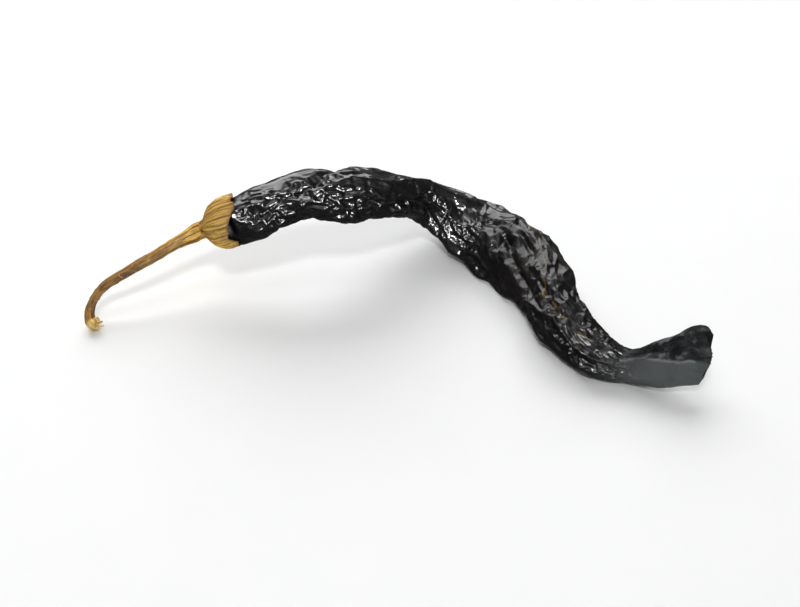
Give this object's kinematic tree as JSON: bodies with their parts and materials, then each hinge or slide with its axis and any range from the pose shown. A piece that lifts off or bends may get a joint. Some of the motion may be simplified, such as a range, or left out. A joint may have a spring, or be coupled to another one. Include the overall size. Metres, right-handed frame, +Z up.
{
  "type": "dried chilli pepper",
  "caption": "Long curved dried chilli pod, flattened and wrinkled, with a cup-shaped calyx and a hooked woody stem, lying on a table.",
  "frame": {"origin": "on the table plane, under the middle of the bounding box", "axes": "+X along the longest extent from the stem towards the pod's tail, +Z up from the table, +Y towards the outside of the pod's bend"},
  "size_m": [0.1686, 0.0748, 0.0346],
  "materials": {
    "pod_skin": "near-black dried skin, glossy, finely wrinkled, matt towards the tail",
    "calyx_husk": "dry ochre husk, matt, finely ribbed lengthwise",
    "stem_bark": "dry golden-brown bark, satin, grooved lengthwise"
  },
  "bodies": {
    "root": {"pod": "pod_skin", "calyx": "calyx_husk", "stem": "stem_bark"}
  },
  "joints": []
}
